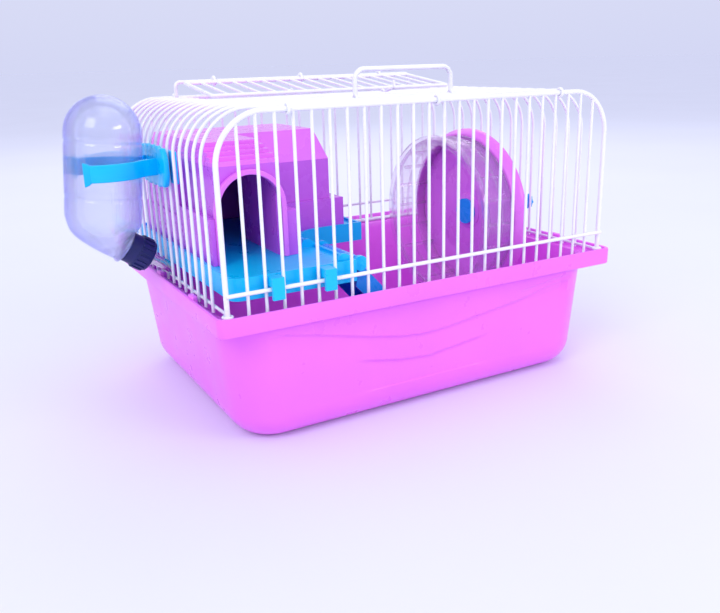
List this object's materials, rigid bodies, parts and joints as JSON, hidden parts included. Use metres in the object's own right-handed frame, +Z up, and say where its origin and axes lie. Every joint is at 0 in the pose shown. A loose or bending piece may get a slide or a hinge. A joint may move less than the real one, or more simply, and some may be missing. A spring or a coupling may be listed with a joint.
{
  "type": "hamster cage",
  "caption": "Small pet cage: deep moulded tub with a lift-off wire top, hinged roof door, carry handle, house on a hooked platform with a ramp, running wheel and clip-on water bottle.",
  "frame": {"origin": "centre of the tub's flat underside, on the surface it stands on", "axes": "+Z up; +X along the cage's long side, towards the running wheel; -Y towards the front panel that the platform hooks over"},
  "size_m": [0.3159, 0.197, 0.1954],
  "materials": {
    "pink_tub": "glossy moulded pink plastic",
    "white_wire": "white coated steel wire",
    "cyan_plastic": "glossy cyan plastic",
    "blue_plastic": "glossy blue plastic",
    "violet_plastic": "glossy violet plastic",
    "pink_plastic": "glossy pink plastic",
    "clear_plastic": "clear plastic with a faint violet tint",
    "navy_plastic": "ribbed dark navy plastic",
    "seal_rubber": "soft pale seal",
    "spout_steel": "stainless steel"
  },
  "bodies": {
    "tub": {"tub": "pink_tub"},
    "wire_top": {"front_panel": "white_wire", "back_panel": "white_wire", "end_bars_left": "white_wire", "end_bars_right": "white_wire", "shoulder_bars_left": "white_wire", "shoulder_bars_right": "white_wire", "roof_bars_front": "white_wire", "roof_bars_rear": "white_wire", "roof_bars_left": "white_wire", "roof_bars_right": "white_wire", "hinge_rail": "white_wire", "wheel_axle": "blue_plastic", "axle_wall_plate": "blue_plastic", "axle_nut": "blue_plastic", "bottle_clip": "cyan_plastic", "clip_lock_plate": "cyan_plastic"},
    "door": {"door_grille": "white_wire", "door_eyes": "white_wire"},
    "latch": {"door_latch": "white_wire"},
    "handle": {"handle_bail": "white_wire"},
    "platform": {"platform_tray": "cyan_plastic", "ramp_pin": "cyan_plastic"},
    "ramp": {"ramp": "blue_plastic"},
    "house": {"house_base": "violet_plastic", "house_walls": "violet_plastic", "doorway_trim": "pink_plastic"},
    "roof": {"house_roof": "pink_plastic"},
    "wheel": {"wheel_disc": "pink_plastic", "wheel_drum": "clear_plastic", "wheel_treads": "clear_plastic", "wheel_front_ring": "clear_plastic"},
    "bottle": {"bottle_shell": "clear_plastic"},
    "seal": {"cap_seal": "seal_rubber"},
    "cap": {"bottle_cap": "navy_plastic", "spout_tube": "spout_steel"},
    "ball": {"spout_ball": "spout_steel"}
  },
  "joints": [
    {"name": "wire_top_lift", "type": "slide", "parent": "tub", "child": "wire_top", "axis": [0, 0, 1], "range_m": [0, 0.12]},
    {"name": "door_hinge", "type": "hinge", "parent": "wire_top", "child": "door", "pos_m": [0, 0.0762, 0.188], "axis": [-1, 0, 0], "range_deg": [0, 110]},
    {"name": "latch_pivot", "type": "hinge", "parent": "wire_top", "child": "latch", "pos_m": [0.02687, 0.0078, 0.178], "axis": [-1, 0, 0], "range_deg": [0, 141]},
    {"name": "handle_pivot", "type": "hinge", "parent": "wire_top", "child": "handle", "pos_m": [0.007, -0.0492, 0.178], "axis": [1, 0, 0], "range_deg": [-75, 75]},
    {"name": "platform_lift", "type": "slide", "parent": "wire_top", "child": "platform", "axis": [0, 0, 1], "range_m": [0, 0.0045]},
    {"name": "ramp_fold", "type": "hinge", "parent": "platform", "child": "ramp", "pos_m": [-0.0464, -0.0625, 0.093], "axis": [0, -1, 0], "range_deg": [0, 18]},
    {"name": "house_lift", "type": "slide", "parent": "platform", "child": "house", "axis": [0, 0, 1], "range_m": [0, 0.0045]},
    {"name": "roof_lift", "type": "slide", "parent": "house", "child": "roof", "axis": [0, 0, 1], "range_m": [0, 0.0045]},
    {"name": "wheel_spin", "type": "hinge", "parent": "wire_top", "child": "wheel", "pos_m": [0.127, -0.01956, 0.0985], "axis": [0.9986, 0.0523, 0], "continuous": true},
    {"name": "bottle_pull", "type": "slide", "parent": "wire_top", "child": "bottle", "axis": [-1, 0, 0], "range_m": [0, 0.05]},
    {"name": "cap_travel", "type": "slide", "parent": "bottle", "child": "seal", "axis": [0.829, 0, -0.5592], "range_m": [0, 0.0025]},
    {"name": "cap_unscrew", "type": "hinge", "parent": "seal", "child": "cap", "pos_m": [-0.15153, 0.0021, 0.10103], "axis": [0.829, 0, -0.5592], "range_deg": [0, 360]},
    {"name": "ball_push", "type": "slide", "parent": "cap", "child": "ball", "axis": [-0.829, 0, 0.5592], "range_m": [0, 0.004]}
  ],
  "couplings": [
    {"joint": "cap_unscrew", "follows": "cap_travel", "rad_per_m": 2513.3}
  ]
}
